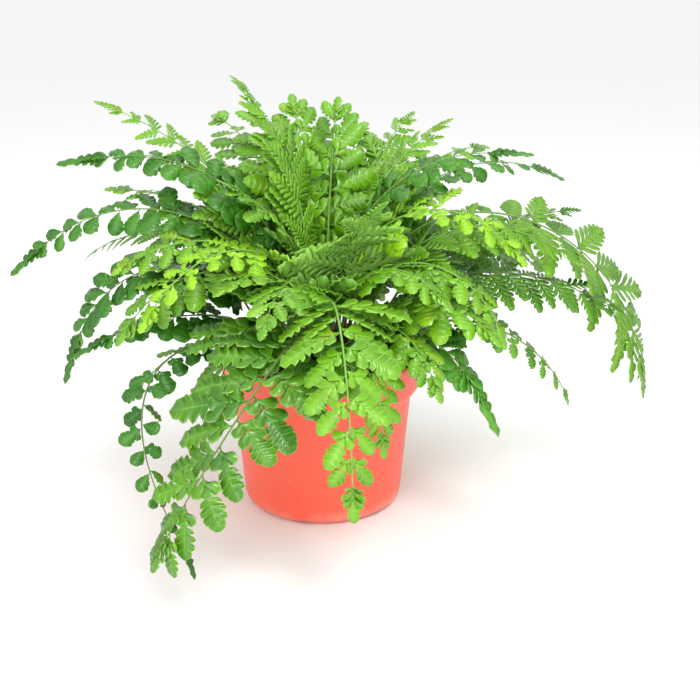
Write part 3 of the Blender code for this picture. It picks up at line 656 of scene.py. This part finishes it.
# kind, ring (per cent of the crown's radius), azimuth, rise, droop, bend, swing, roll (degrees, and bend a
# power), length, longest pinna (mm), tint (0 dark, 1 fresh); the tint is each frond's own green, and on the
# fronds in the middle of the plant it is also painted light, set fresher to lift them out of the shade of
# the fronds above
frondRows = [
    ("feathery", 48, 166, 80, 60, 0.6, 10, -30, 200, 24, 0.75),
    ("narrow", 59, 180, 86, 106, 0.8, 0, -45, 208, 14, 0.35),
    ("narrow", 76, 186, 74, 125, 0.8, 0, -50, 212, 14, 0.3),
    ("narrow", 83, 198, 62, 155, 0.9, 0, -40, 186, 14, 0.2),
    ("broad", 45, 203, 82, 115, 0.7, 0, -30, 158, 26, 0.7),
    ("young", 52, 224, 84, 140, 0.7, 0, -20, 172, 17, 0.8),
    ("narrow", 83, 210, 52, 80, 0.6, -20, -30, 125, 15, 0.2),
    ("narrow", 83, 216, 26, 88, 0.5, 125, 0, 216, 12, 0.1),
    ("broad", 83, 262, 42, 104, 0.4, -58, -15, 210, 32, 0.2),
    ("broad", 59, 276, 52, 142, 0.7, 2, 5, 212, 38, 0.75),
    ("broad", 66, 240, 80, 100, 1.0, -8, 0, 108, 30, 0.8),
    ("feathery", 31, 300, 80, 50, 1.2, 0, 0, 112, 34, 0.9),
    ("feathery", 24, 150, 88, 50, 1.4, 0, 0, 172, 22, 0.7),
    ("broad", 21, 215, 88, 60, 1.0, -30, 0, 122, 28, 0.7),
    ("broad", 28, 75, 86, 18, 1.0, 0, 0, 158, 22, 0.6),
    ("narrow", 45, 22, 75, 108, 0.9, 0, 35, 214, 14, 0.45),
    ("feathery", 48, 2, 66, 150, 0.6, 0, 35, 285, 36, 0.5),
    ("feathery", 66, 12, 50, 50, 1.0, 0, 40, 168, 26, 0.15),
    ("feathery", 76, 352, 58, 90, 0.5, 0, 30, 184, 26, 0.1),
    ("young", 41, 336, 82, 142, 1.1, 4, 20, 176, 20, 0.8),
    ("broad", 59, 330, 78, 152, 0.8, 0, 10, 158, 27, 0.85),
    ("broad", 83, 343, 38, 108, 0.8, 8, 25, 152, 18, 0.3),
    ("narrow", 83, 325, 50, 110, 0.8, 0, 10, 95, 13, 1.0),
    ("broad", 38, 108, 84, 36, 1.0, 0, 0, 165, 24, 0.6),
    ("feathery", 41, 55, 80, 62, 1.0, 0, 20, 172, 26, 0.7),
    ("broad", 52, 128, 80, 70, 1.0, 0, -20, 178, 26, 0.6),
    ("broad", 55, 38, 76, 84, 1.0, 0, 25, 182, 27, 0.6),
    ("feathery", 28, 20, 84, 60, 1.0, 0, 20, 165, 24, 0.7),
    ("narrow", 62, 150, 74, 88, 1.0, 0, -25, 188, 15, 0.3),
    ("broad", 59, 90, 70, 115, 0.9, 0, 0, 212, 32, 0.5),
    ("feathery", 66, 68, 66, 120, 0.9, 0, 0, 218, 32, 0.4),
    ("narrow", 66, 112, 66, 122, 0.9, 0, 0, 214, 16, 0.3),
    ("broad", 79, 136, 58, 130, 0.8, 0, 0, 212, 30, 0.5),
    ("narrow", 83, 46, 58, 130, 0.8, 0, 0, 208, 16, 0.3),
    ("broad", 83, 80, 48, 135, 0.7, 0, 0, 205, 30, 0.4),
    ("feathery", 83, 103, 46, 135, 0.7, 0, 0, 198, 30, 0.35),
    ("feathery", 79, 162, 60, 118, 0.8, 0, -20, 198, 26, 0.4),
    ("broad", 45, 312, 78, 118, 0.9, 0, 0, 128, 28, 0.75),
    ("broad", 48, 255, 74, 118, 0.9, 0, 0, 128, 28, 0.65),
    ("broad", 76, 305, 58, 120, 0.8, 0, 0, 112, 27, 0.7),
    ("broad", 76, 288, 46, 130, 0.7, 6, 0, 112, 24, 0.7),
    ("broad", 83, 243, 56, 140, 0.8, 0, 0, 135, 30, 0.35),
    ("broad", 62, 212, 72, 130, 0.8, 0, -20, 150, 30, 0.5),
    ("narrow", 31, 352, 86, 95, 1.0, 0, 30, 182, 14, 0.4),
    ("feathery", 59, 350, 70, 112, 0.9, 0, 30, 178, 28, 0.65),
    ("broad", 83, 27, 54, 122, 0.8, 0, 20, 205, 28, 0.5),
    ("broad", 62, 322, 60, 100, 0.9, 0, 10, 122, 32, 0.75),
    ("broad", 48, 71, 86, 70, 1.1, 0, 10, 160, 26, 0.65),
    ("broad", 60, 174, 76, 78, 0.8, 0, -20, 160, 28, 0.6),
    ("broad", 34, 128, 84, 50, 1.1, 0, -10, 160, 26, 0.7),
]
frondChanges = {  # fronds that differ from their kind
    1: dict(size=1.7, pairs=11),
    2: dict(size=1.75, end=0.88),
    3: dict(size=1.70, end=0.90),
    4: dict(size=1.80, end=0.86),
    8: dict(size=1.35, pairs=12, disorder=0.6, end=0.92),
    9: dict(size=1.42, taper=0.45, simpler=2.0, end=0.94, lean=14),
    10: dict(size=1.10, taper=0.62, simpler=2.2, end=0.93, pairs=11, lean=20),
    12: dict(size=1.65, pairs=12, first=0.9, lean=24),
    13: dict(size=1.5, pairs=17, lean=50, taper=0.55, end=0.94),
    15: dict(size=1.6, taper=0.4, end=0.86),
    16: dict(size=1.6, taper=0.6, end=0.88),
    17: dict(size=1.90, taper=0.50, first=0.15, growth=1.3, pairs=12, lean=8, end=0.93),
    19: dict(size=1.25, taper=0.45),
    23: dict(size=1.9, taper=0.3, tip=1.6),
    24: dict(size=1.6, taper=0.4, end=0.86),
    25: dict(size=1.45, taper=0.6, end=0.90),
    26: dict(size=1.5, taper=0.45),
    28: dict(size=1.45, taper=0.6, end=0.90),
    31: dict(size=1.2, taper=0.6, end=0.86),
    37: dict(size=1.0, end=0.80),
    48: dict(size=1.5, taper=0.4, end=0.88),
    50: dict(size=1.5, taper=0.4, end=0.88),
}
frondPath = dict(steps=64, straightShare=0.25, floorGap=3 * mm, leafGap=0.4 * mm, stalkLift=1.4 * mm,
                 crownEdge=1.5 * mm)


def crownSkin(radius):  # height of the crown's upper skin at a distance from its middle
    rise = crownBox[1].z - crownBox[0].z
    edge = frondPath["crownEdge"]
    return crownBox[0].z + edge + (rise - edge) * (1 - (radius / crownBox[1].x) ** 2)


def stalkBase(ring, azimuth):
    radius = ring / 100 * crownBox[1].x
    angle = math.radians(azimuth)
    height = crownSkin(radius) + frondPath["stalkLift"]
    return Vector((radius * math.cos(angle), radius * math.sin(angle), height))


def frondLine(row):  # points of the frond's middle line and its upper direction at each
    kind, ring, azimuth, rise, droop, bend, swing, roll, length = row[:9]
    steps, straight = frondPath["steps"], frondPath["straightShare"]
    point = stalkBase(ring, azimuth)
    points, uppers = [point.copy()], []
    for i in range(steps):
        arch = max(0.0, (i + 0.5) / steps - straight) / (1 - straight)
        elevation = math.radians(rise - droop * arch ** bend)
        heading = math.radians(azimuth + swing * arch)
        ahead = Vector((math.cos(elevation) * math.cos(heading), math.cos(elevation) * math.sin(heading),
                        math.sin(elevation)))
        point = point + ahead * (length * mm / steps)
        point.z = max(point.z, frondPath["floorGap"])
        points.append(point.copy())
        side = Vector((-math.sin(heading), math.cos(heading), 0))
        twist = Matrix.Rotation(math.radians(roll) * arch ** 0.5, 3, ahead)
        uppers.append(twist @ ahead.cross(side))
    return points, uppers[:1] + uppers


def keptAboveFloor(piece):  # leaves that reach the surface lie flat on it
    for vert in piece.data.vertices:
        vert.co.z = max(vert.co.z, frondPath["leafGap"])


def makeFrond(index, row):
    kind, tint = row[0], row[10]
    values = {**frondKinds[kind], **frondChanges.get(index, {})}
    values.update(length=row[9] * values["size"] * mm, lean=math.radians(values["lean"]), tint=tint,
                  wobble=values["wobble"] * mm, radius=values["radius"] * mm, seed=index * 31,
                  leaves=leafSets[kind], leafMaterial=leafMaterials[kind], stalkMaterial=stalkMaterial)
    points, uppers = frondLine(row)
    source = linked(f"{kind}Line{index}", lineMesh("frondLine", points, uppers))
    treeModifier(source, frondTree, values)
    frond = bakedMesh(source, f"{kind}Frond{index:02d}")
    keptAboveFloor(frond)
    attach(frond, "root")
    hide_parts(f"{kind}_frond_{index:02d}")
    return frond


fronds = [makeFrond(index + 1, row) for index, row in enumerate(frondRows)]
print("fronds made:", len(fronds), "faces:", sum(len(frond.data.polygons) for frond in fronds))


# Croziers: young fronds still rolled up, with small folded pinnae along the coil

crozier = dict(turns=1.15, closing=0.45, stalkSteps=20, steps=90, firstSeed=700, radius=0.88 * mm, pairs=11,
               bare=0.62, end=1.0, length=3.4 * mm, width=0.7, first=0.5, taper=0.3, tip=0.6, lean=0.9,
               sag=0.0, disorder=0.2, wobble=0.2 * mm, tint=0.85)
crozierRows = [  # ring (per cent), azimuth, stalk height (mm), coil radius (mm), lean in degrees
    (7, 320, 60, 5.0, 8),
    (83, 120, 36, 4.0, 24),
    (28, 260, 48, 4.5, 10),
    (90, 150, 40, 4.5, 14),
]


def crozierLine(row):
    ring, azimuth, height, coil, lean = row[0], row[1], row[2] * mm, row[3] * mm, row[4]
    points = [Vector((0, 0, height * i / crozier["stalkSteps"])) for i in range(crozier["stalkSteps"])]
    for i in range(crozier["steps"]):
        t = i / (crozier["steps"] - 1)
        angle = math.pi - t * crozier["turns"] * 2 * math.pi
        radius = coil * (1 - (1 - crozier["closing"]) * t)
        points.append(Vector((coil + radius * math.cos(angle), 0, height + radius * math.sin(angle))))
    centre = Vector((coil, 0, height))
    uppers = [Vector((1, 0, 0)) if point.z < height else (centre - point).normalized() for point in points]
    turn = Matrix.Rotation(math.radians(azimuth), 4, "Z") @ Matrix.Rotation(math.radians(lean), 4, "Y")
    world = Matrix.Translation(stalkBase(ring, azimuth)) @ turn
    return [world @ point for point in points], [turn.to_3x3() @ upper for upper in uppers]


for index, row in enumerate(crozierRows):
    source = linked("crozierSource", lineMesh("crozierLine", *crozierLine(row)))
    treeModifier(source, frondTree, {
        **crozier, "seed": crozier["firstSeed"] + index, "leaves": leafSets["young"],
        "leafMaterial": leafMaterials["young"], "stalkMaterial": stalkMaterial})
    coiled = bakedMesh(source, f"crozier{index + 1}")
    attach(coiled, "root")
    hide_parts(f"crozier_{index + 1}")
print("croziers made:", len(crozierRows))
bpy.data.batch_remove([obj for obj in templates.all_objects])


# Pot: a thin moulded cone with a stepped collar, drain holes and small notches in the foot

pot = dict(wall=1.5 * mm, collarHeight=19 * mm, collarTaper=2.5 * mm, collarStep=5 * mm, collarSlope=6 * mm,
           collarCorners=(2.5 * mm, 3 * mm), footRadius=47 * mm, footRounding=8 * mm, ringWidth=4 * mm,
           undersideRise=3 * mm, padRadius=14 * mm, floorThickness=2 * mm, lipRadius=0.7 * mm,
           lipStraight=2.8 * mm, lipInset=0.2 * mm, sideInset=0.3 * mm, holes=6, holeRadius=4 * mm,
           holeDepth=16 * mm, notchWidth=9 * mm, notchHeight=2.2 * mm, notchRounding=1.2 * mm,
           notchTurn=math.radians(16), turnSteps=144, weld=0.02 * mm, creaseAngle=math.radians(35))
potHeight, rimRadius = potBox[1].z, potBox[1].x
ringOutside = pot["footRadius"] - pot["footRounding"]
ringInside = ringOutside - pot["ringWidth"]


def arcPoints(centreR, centreZ, radius, start, end, steps):
    angles = [math.radians(start + (end - start) * i / steps) for i in range(steps + 1)]
    return [(centreR + radius * math.cos(a), centreZ + radius * math.sin(a)) for a in angles]


def softCorners(profile, radii, steps=5):  # rounds the corners of an open profile
    rounded = [profile[0]]
    for before, corner, after, radius in zip(profile, profile[1:], profile[2:], radii):
        here = Vector(corner)
        back, ahead = (Vector(before) - here), (Vector(after) - here)
        reach = min(radius, back.length * 0.45, ahead.length * 0.45)
        start, end = here + back.normalized() * reach, here + ahead.normalized() * reach
        for i in range(steps + 1):
            t = i / steps
            rounded.append(tuple(start * (1 - t) ** 2 + here * 2 * t * (1 - t) + end * t * t))
    return rounded + [profile[-1]]


def lathe(name, profile, steps):
    bm = bmesh.new()
    verts = [bm.verts.new((r, 0, z)) for r, z in profile]
    edges = [bm.edges.new(pair) for pair in zip(verts, verts[1:])]
    bmesh.ops.spin(bm, geom=verts + edges, cent=(0, 0, 0), axis=(0, 0, 1), angle=2 * math.pi, steps=steps,
                   use_duplicate=False)
    bmesh.ops.remove_doubles(bm, verts=bm.verts, dist=pot["weld"])
    bmesh.ops.recalc_face_normals(bm, faces=bm.faces)
    turned = linkedMesh(name, bm)
    turned.data.shade_smooth()
    return turned


def potOutside():
    collarBottom = potHeight - pot["collarHeight"]
    collarFoot = rimRadius - pot["collarTaper"]
    corners = [(rimRadius - pot["sideInset"], potHeight - pot["lipStraight"]), (collarFoot, collarBottom),
               (collarFoot - pot["collarStep"], collarBottom - pot["collarSlope"]),
               (pot["footRadius"], pot["footRounding"])]
    foot = arcPoints(ringOutside, pot["footRounding"], pot["footRounding"], 0, -90, 12)
    return softCorners(corners, pot["collarCorners"]) + foot[1:]


def potProfile():
    wall, lip = pot["wall"], pot["lipRadius"]
    outside = potOutside()
    inside = [(r - wall, z) for r, z in outside if z >= pot["footRounding"]]
    floorTop = pot["undersideRise"] + pot["floorThickness"]
    edge = inside[-1][0] - (pot["footRounding"] - floorTop)
    lipTop = arcPoints(rimRadius - pot["lipInset"] - wall / 2, potHeight - lip, lip, 180, 0, 8)
    lipTop[-1:] = [(rimRadius, potHeight - 2 * lip)]
    rise, pad = pot["undersideRise"], pot["padRadius"]
    underside = [(ringInside, 0), (ringInside - rise, rise), (pad + rise, rise), (pad, 0), (0, 0)]
    return [(0, floorTop), (edge, floorTop)] + inside[::-1] + lipTop + outside + underside


def potCutters():  # six drain holes between the foot ring and the pad, and a notch through the ring at each
    bm = bmesh.new()
    holeMiddle = (ringInside + pot["padRadius"]) / 2
    notchSize = (pot["footRounding"] * 2 + pot["ringWidth"], pot["notchWidth"], pot["notchHeight"] * 2, 1)
    for i in range(pot["holes"]):
        turn = Matrix.Rotation(pot["notchTurn"] + i * 2 * math.pi / pot["holes"], 4, "Z")
        bmesh.ops.create_cone(bm, cap_ends=True, segments=24, radius1=pot["holeRadius"],
                              radius2=pot["holeRadius"], depth=pot["holeDepth"],
                              matrix=turn @ Matrix.Translation((holeMiddle, 0, 0)))
        block = bmesh.ops.create_cube(
            bm, size=1, matrix=turn @ Matrix.Translation((ringOutside, 0, 0)) @ Matrix.Diagonal(notchSize))
        lengthwise = {edge for vert in block["verts"] for edge in vert.link_edges
                      if abs((edge.verts[0].co - edge.verts[1].co).normalized().dot(turn.col[0].xyz)) > 0.9}
        bmesh.ops.bevel(bm, geom=list(lengthwise), offset=pot["notchRounding"], segments=3, affect="EDGES",
                        profile=0.5)
    return linkedMesh("potCutters", bm)


# the pale mark colour serves specks of dust and a painted highlight at the pot's foot
potFinish = dict(base=(0.90, 0.088, 0.043), pale=(0.93, 0.170, 0.100), dustAndHighlight=(0.80, 0.42, 0.33),
                 roughness=0.34, cloudScale=26.0, streakScale=120.0, grainScale=1600.0, speckScale=420.0,
                 speckRange=(0.66, 0.74), footHighlightRange=(0.016, 0.001), scuffAndFootHighlightRange=(0.42, 0.75))


def makePotMaterial():
    material, tree, shader = newMaterial("potPlastic", **{
        "Subsurface Weight": 0.12, "Subsurface Radius": (0.004, 0.0012, 0.0008), "Subsurface Scale": 1.0,
        "Coat Weight": 0.12, "Coat Roughness": 0.3})
    look, spot = potFinish, objectPlace(tree)
    clouds = putNoise(tree, spot, look["cloudScale"])
    streaks = putNoise(tree, objectPlace(tree, 0.18), look["streakScale"], 4.0)
    grain = putNoise(tree, spot, look["grainScale"], 2.0)
    specks = putRange(tree, putNoise(tree, spot, look["speckScale"], 2.0), *look["speckRange"])
    # painted highlight: this mask makes the pot paler towards its foot, light on the bottom edge
    low = putRange(tree, axisOf(tree, spot, 2), *look["footHighlightRange"])
    mask = timesPlus(tree, clouds, 0.5, times(tree, streaks, 0.25), True)
    mask = timesPlus(tree, low, 0.35, mask, True)
    colour = putMix(tree, times(tree, mask, 0.55), look["base"], look["pale"])
    # the scuff marks gather at the foot and are partly that painted highlight; the specks are dust all over
    scuffsAndFootHighlight = putRange(tree, times(tree, clouds, putMath(tree, "ADD", streaks, low)), *look["scuffAndFootHighlightRange"])
    dirtAndFootHighlight = putMath(tree, "MAXIMUM", times(tree, scuffsAndFootHighlight, 0.35), times(tree, specks, 0.25))
    tree.links.new(putMix(tree, dirtAndFootHighlight, colour, look["dustAndHighlight"]), shader.inputs["Base Color"])
    rough = timesPlus(tree, streaks, 0.16, look["roughness"])
    tree.links.new(timesPlus(tree, dirtAndFootHighlight, 0.4, rough, True), shader.inputs["Roughness"])
    relief = timesPlus(tree, clouds, 1.6, times(tree, grain, 0.12))
    joinBump(tree, shader, relief, 0.25, 0.4 * mm)
    return material


def makePot():
    source = lathe("potSource", potProfile(), pot["turnSteps"])
    cutters = potCutters()
    cut = source.modifiers.new("holes", "BOOLEAN")
    cut.operation, cut.solver, cut.object = "DIFFERENCE", "EXACT", cutters
    cut.use_self = True
    body = bakedMesh(source, "potBody")
    bpy.data.objects.remove(cutters, do_unlink=True)
    body.data.materials.clear()
    body.data.materials.append(makePotMaterial())
    body.data.set_sharp_from_angle(angle=pot["creaseAngle"])
    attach(body, "root")
    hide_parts("nursery_pot")


makePot()
print("pot made")


# Soil: a crumbly top with loose granules

soil = dict(gap=0.3 * mm, bump=1.6 * mm, rings=40, turnSteps=120, topInset=0.1 * mm, corner=1.2 * mm,
            smallest=0.7 * mm, largest=2.2 * mm, density=330000.0, sizePower=2.2, steepest=0.35,
            squash=((0.6, 0.6, 0.45), (1.3, 1.0, 0.8)), seed=3)
soilFinish = dict(dark=(0.012, 0.008, 0.006), mid=(0.045, 0.028, 0.018), pale=(0.16, 0.11, 0.075))


def makeSoilMaterial():
    material, tree, shader = newMaterial("pottingSoil", Roughness=0.95)
    spot = objectPlace(tree)
    coarse = putNoise(tree, spot, 190.0, 5.0, 0.65)
    fine = putNoise(tree, spot, 1500.0)
    damp = putNoise(tree, spot, 30.0)
    colour = putMix(tree, putRange(tree, coarse, 0.35, 0.65), soilFinish["dark"], soilFinish["mid"])
    colour = putMix(tree, putRange(tree, fine, 0.64, 0.74), colour, soilFinish["pale"])
    tree.links.new(colour, shader.inputs["Base Color"])
    tree.links.new(putRange(tree, damp, 0.35, 0.6, 0.72, 1.0), shader.inputs["Roughness"])
    joinBump(tree, shader, timesPlus(tree, fine, 0.4, coarse), 0.9, 0.8 * mm)
    return material


def makeSoilSurface():
    top, bottom, corner = soilBox[1].z, soilBox[0].z, soil["corner"]
    inset = pot["wall"] + soil["gap"]
    side = [(r - inset, z) for r, z in potOutside() if pot["footRounding"] <= z < top - 1 * mm]
    outer = soilBox[1].x - soil["topInset"]
    flat = [(outer * i / soil["rings"], top) for i in range(soil["rings"])]
    flat = [place for place in flat if place[0] < outer - corner - 0.2 * mm]
    rounding = arcPoints(outer - corner, top - corner, corner, 90, 0, 3)
    edge = side[-1][0] - (pot["footRounding"] - bottom)
    body = lathe("soilBody", flat + rounding + side + [(edge, bottom), (0, bottom)], soil["turnSteps"])
    for vert in body.data.vertices:
        if vert.co.z > top - 0.2 * mm:
            rough = noise.fractal(vert.co * 160, 0.6, 2.0, 4) + 0.8 * noise.noise(vert.co * 45)
            vert.co.z = top + soil["bump"] * (0.55 * max(-1.2, min(1.2, rough)) - 0.5)
    body.data.materials.append(makeSoilMaterial())
    return body


crumbInputs = dict(density=300000.0, smallest=0.0007, largest=0.002, lowest=0.07, seed=3, crumb="Object",
                   material="Material")


def makeCrumbTree():  # granules scattered over the upward faces above a height
    tree, given, result = geometryTree("crumbTree", crumbInputs)
    up = axisOf(tree, putShape(tree, "InputNormal"), 2)
    height = axisOf(tree, putShape(tree, "InputPosition"), 2)
    bare = times(tree, putMath(tree, "GREATER_THAN", up, soil["steepest"]),
                 putMath(tree, "GREATER_THAN", height, given["lowest"]))
    faces = putShape(tree, "SeparateGeometry", {"Geometry": given[0], "Selection": bare}, domain="FACE")
    points = putShape(tree, "DistributePointsOnFaces", {
        "Mesh": faces, "Density": given["density"], "Seed": given["seed"]})
    size = putMath(tree, "POWER", randomValue(tree, 0.0, 1.0, given["seed"], 5), soil["sizePower"])
    size = timesPlus(tree, size, putMath(tree, "SUBTRACT", given["largest"], given["smallest"]),
                     given["smallest"])
    turn, squash = (
        putFirst(tree, "FunctionNodeRandomValue", {0: lowest, 1: highest}, data_type="FLOAT_VECTOR")
        for lowest, highest in (((0, 0, 0), (6.3, 6.3, 6.3)), soil["squash"]))
    crumb = putNode(tree, "GeometryNodeObjectInfo", {"Object": given["crumb"]}).outputs["Geometry"]
    spread = putShape(tree, "InstanceOnPoints", {
        "Points": points, "Instance": crumb, "Rotation": turn, "Scale": stretch(tree, squash, size)})
    whole = putShape(tree, "RealizeInstances", {"Geometry": spread})
    whole = putShape(tree, "SetMaterial", {"Geometry": whole, "Material": given["material"]})
    tree.links.new(whole, result[0])
    return tree


def crumbShape():
    bm = bmesh.new()
    bmesh.ops.create_icosphere(bm, subdivisions=1, radius=0.5)
    rng = random.Random(8)
    for vert in bm.verts:
        vert.co *= rng.uniform(0.75, 1.2)
    return linkedMesh("crumb", bm)


def makeSoil():
    body = makeSoilSurface()
    source = linked("crumbSource", body.data.copy())
    shape = crumbShape()
    treeModifier(source, makeCrumbTree(), {
        **soil, "lowest": soilBox[1].z - soil["bump"] * 1.4, "crumb": shape,
        "material": body.data.materials[0]})
    crumbs = bakedMesh(source, "soilCrumbs")
    bpy.data.objects.remove(shape, do_unlink=True)
    for piece in (body, crumbs):
        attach(piece, "root")
        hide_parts("potting_soil")


makeSoil()
print("soil made")


# Crown: a short scaly rhizome that all the stalks grow from

crown = dict(rings=24, turnSteps=96, lump=1.1 * mm, scales=900, scaleLength=(4 * mm, 8 * mm),
             scaleSink=0.6 * mm, scaleWidth=(0.16, 0.28), scaleThickness=0.15 * mm, swing=1.2,
             lean=(0.2, 1.35), outerShorter=0.45)
crownFinish = dict(dark=(0.020, 0.011, 0.006), mid=(0.085, 0.045, 0.020), pale=(0.22, 0.13, 0.065))


def makeCrownMaterial():
    material, tree, shader = newMaterial("crownScales", Roughness=0.8)
    patches = putNoise(tree, objectPlace(tree), 150.0, 4.0)
    fibres = putNoise(tree, objectPlace(tree, 0.3), 900.0)
    colour = putMix(tree, putRange(tree, patches, 0.35, 0.7), crownFinish["dark"], crownFinish["mid"])
    colour = putMix(tree, putRange(tree, fibres, 0.58, 0.78), colour, crownFinish["pale"])
    tree.links.new(colour, shader.inputs["Base Color"])
    tree.links.new(putRange(tree, fibres, 0.3, 0.7, 0.65, 0.95), shader.inputs["Roughness"])
    joinBump(tree, shader, fibres, 0.8, 0.5 * mm)
    return material


def addScale(bm, rng, radius):  # a papery folded sliver that leans outwards from the crown's skin
    angle, ring = rng.uniform(0, 2 * math.pi), radius * 0.97 * rng.random() ** 0.5
    foot = Vector((ring * math.cos(angle), ring * math.sin(angle), crownSkin(ring) - crown["scaleSink"]))
    turn = Matrix.Rotation(angle + rng.uniform(-crown["swing"], crown["swing"]), 4, "Z")
    lean = turn @ Matrix.Rotation(rng.uniform(*crown["lean"]), 4, "Y")
    length = rng.uniform(*crown["scaleLength"]) * (1 - crown["outerShorter"] * ring / radius)
    width = length * rng.uniform(*crown["scaleWidth"])
    fold = width * 0.35
    outline = [(0, -width * 0.6, 0), (fold, 0, 0), (0, width * 0.6, 0), (0, width, length * 0.4),
               (fold, 0, length * 0.45), (0, -width, length * 0.4), (fold * 0.5, 0, length)]
    front, back = (
        [bm.verts.new(foot + lean @ (Vector(place) - Vector((inward, 0, 0)))) for place in outline]
        for inward in (0, crown["scaleThickness"]))
    for face in ((0, 1, 4, 5), (1, 2, 3, 4), (5, 4, 6), (4, 3, 6)):
        bm.faces.new([front[i] for i in face])
        bm.faces.new([back[i] for i in reversed(face)])
    border = (0, 1, 2, 3, 6, 5)
    for a, b in zip(border, border[1:] + border[:1]):
        bm.faces.new((front[b], front[a], back[a], back[b]))


def makeCrown():
    radius, bottom = crownBox[1].x, crownBox[0].z
    places = [radius * i / crown["rings"] for i in range(crown["rings"] + 1)]
    dome = [(place, crownSkin(place)) for place in places]
    body = lathe("crownBody", dome + [(radius, bottom), (0, bottom)], crown["turnSteps"])
    for vert in body.data.vertices:
        if vert.co.z > bottom + 0.5 * mm:
            vert.co.z += crown["lump"] * noise.noise(vert.co * 120)
    body.data.materials.append(makeCrownMaterial())
    bm, rng = bmesh.new(), random.Random(21)
    for _ in range(crown["scales"]):
        addScale(bm, rng, radius)
    bmesh.ops.recalc_face_normals(bm, faces=bm.faces)
    scales = linkedMesh("crownScales", bm)
    scales.data.materials.append(body.data.materials[0])
    for piece in (body, scales):
        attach(piece, "root")
        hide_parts("crown")


makeCrown()
print("crown made")


# Stage, camera and light

studio = dict(floorSize=40.0, floorColour=(0.94, 0.94, 0.94, 1), worldColour=(1, 1, 1, 1),
              worldStrength=0.97)
lamps = {  # place, aim, size and power
    "keyLamp": ((0.35, -0.85, 1.25), (0, 0, 0.1), 0.5, 10.5),
    "fillLamp": ((-0.25, -1.0, 0.42), (0, 0, 0.12), 0.8, 4.6),
    "topLamp": ((0.1, 0.4, 1.3), (0, 0, 0.12), 0.8, 3.0),
}


def makeFloor():
    bm = bmesh.new()
    bmesh.ops.create_grid(bm, x_segments=1, y_segments=1, size=studio["floorSize"])
    floor = linkedMesh("floor", bm)
    material, tree, shader = newMaterial("paleFloor", Roughness=0.9)
    shader.inputs["Base Color"].default_value = studio["floorColour"]
    floor.data.materials.append(material)


def softLamp(name, place, aim, size, power):
    lamp = bpy.data.lights.new(name, "AREA")
    lamp.shape = "DISK"
    lamp.size, lamp.energy = size, power
    obj = linked(name, lamp)
    obj.location = place
    obj.rotation_euler = (Vector(aim) - Vector(place)).to_track_quat("-Z", "Y").to_euler()


makeFloor()
for name, values in lamps.items():
    softLamp(name, *values)
world = bpy.data.worlds.new("studio")
bpy.context.scene.world = world
world.use_nodes = True
world.node_tree.nodes["Background"].inputs[0].default_value = studio["worldColour"]
world.node_tree.nodes["Background"].inputs[1].default_value = studio["worldStrength"]

cameraSet = dict(place=(0.0165, -0.65, 0.297), tilt=math.radians(72.5), lens=59.55, sensor=36)
camera = linked("camera", bpy.data.cameras.new("camera"))
camera.data.lens = cameraSet["lens"]
camera.data.sensor_width = cameraSet["sensor"]
camera.location = cameraSet["place"]
camera.rotation_euler = (cameraSet["tilt"], 0, 0)
bpy.context.scene.camera = camera
bpy.context.scene.view_settings.view_transform = "Standard"
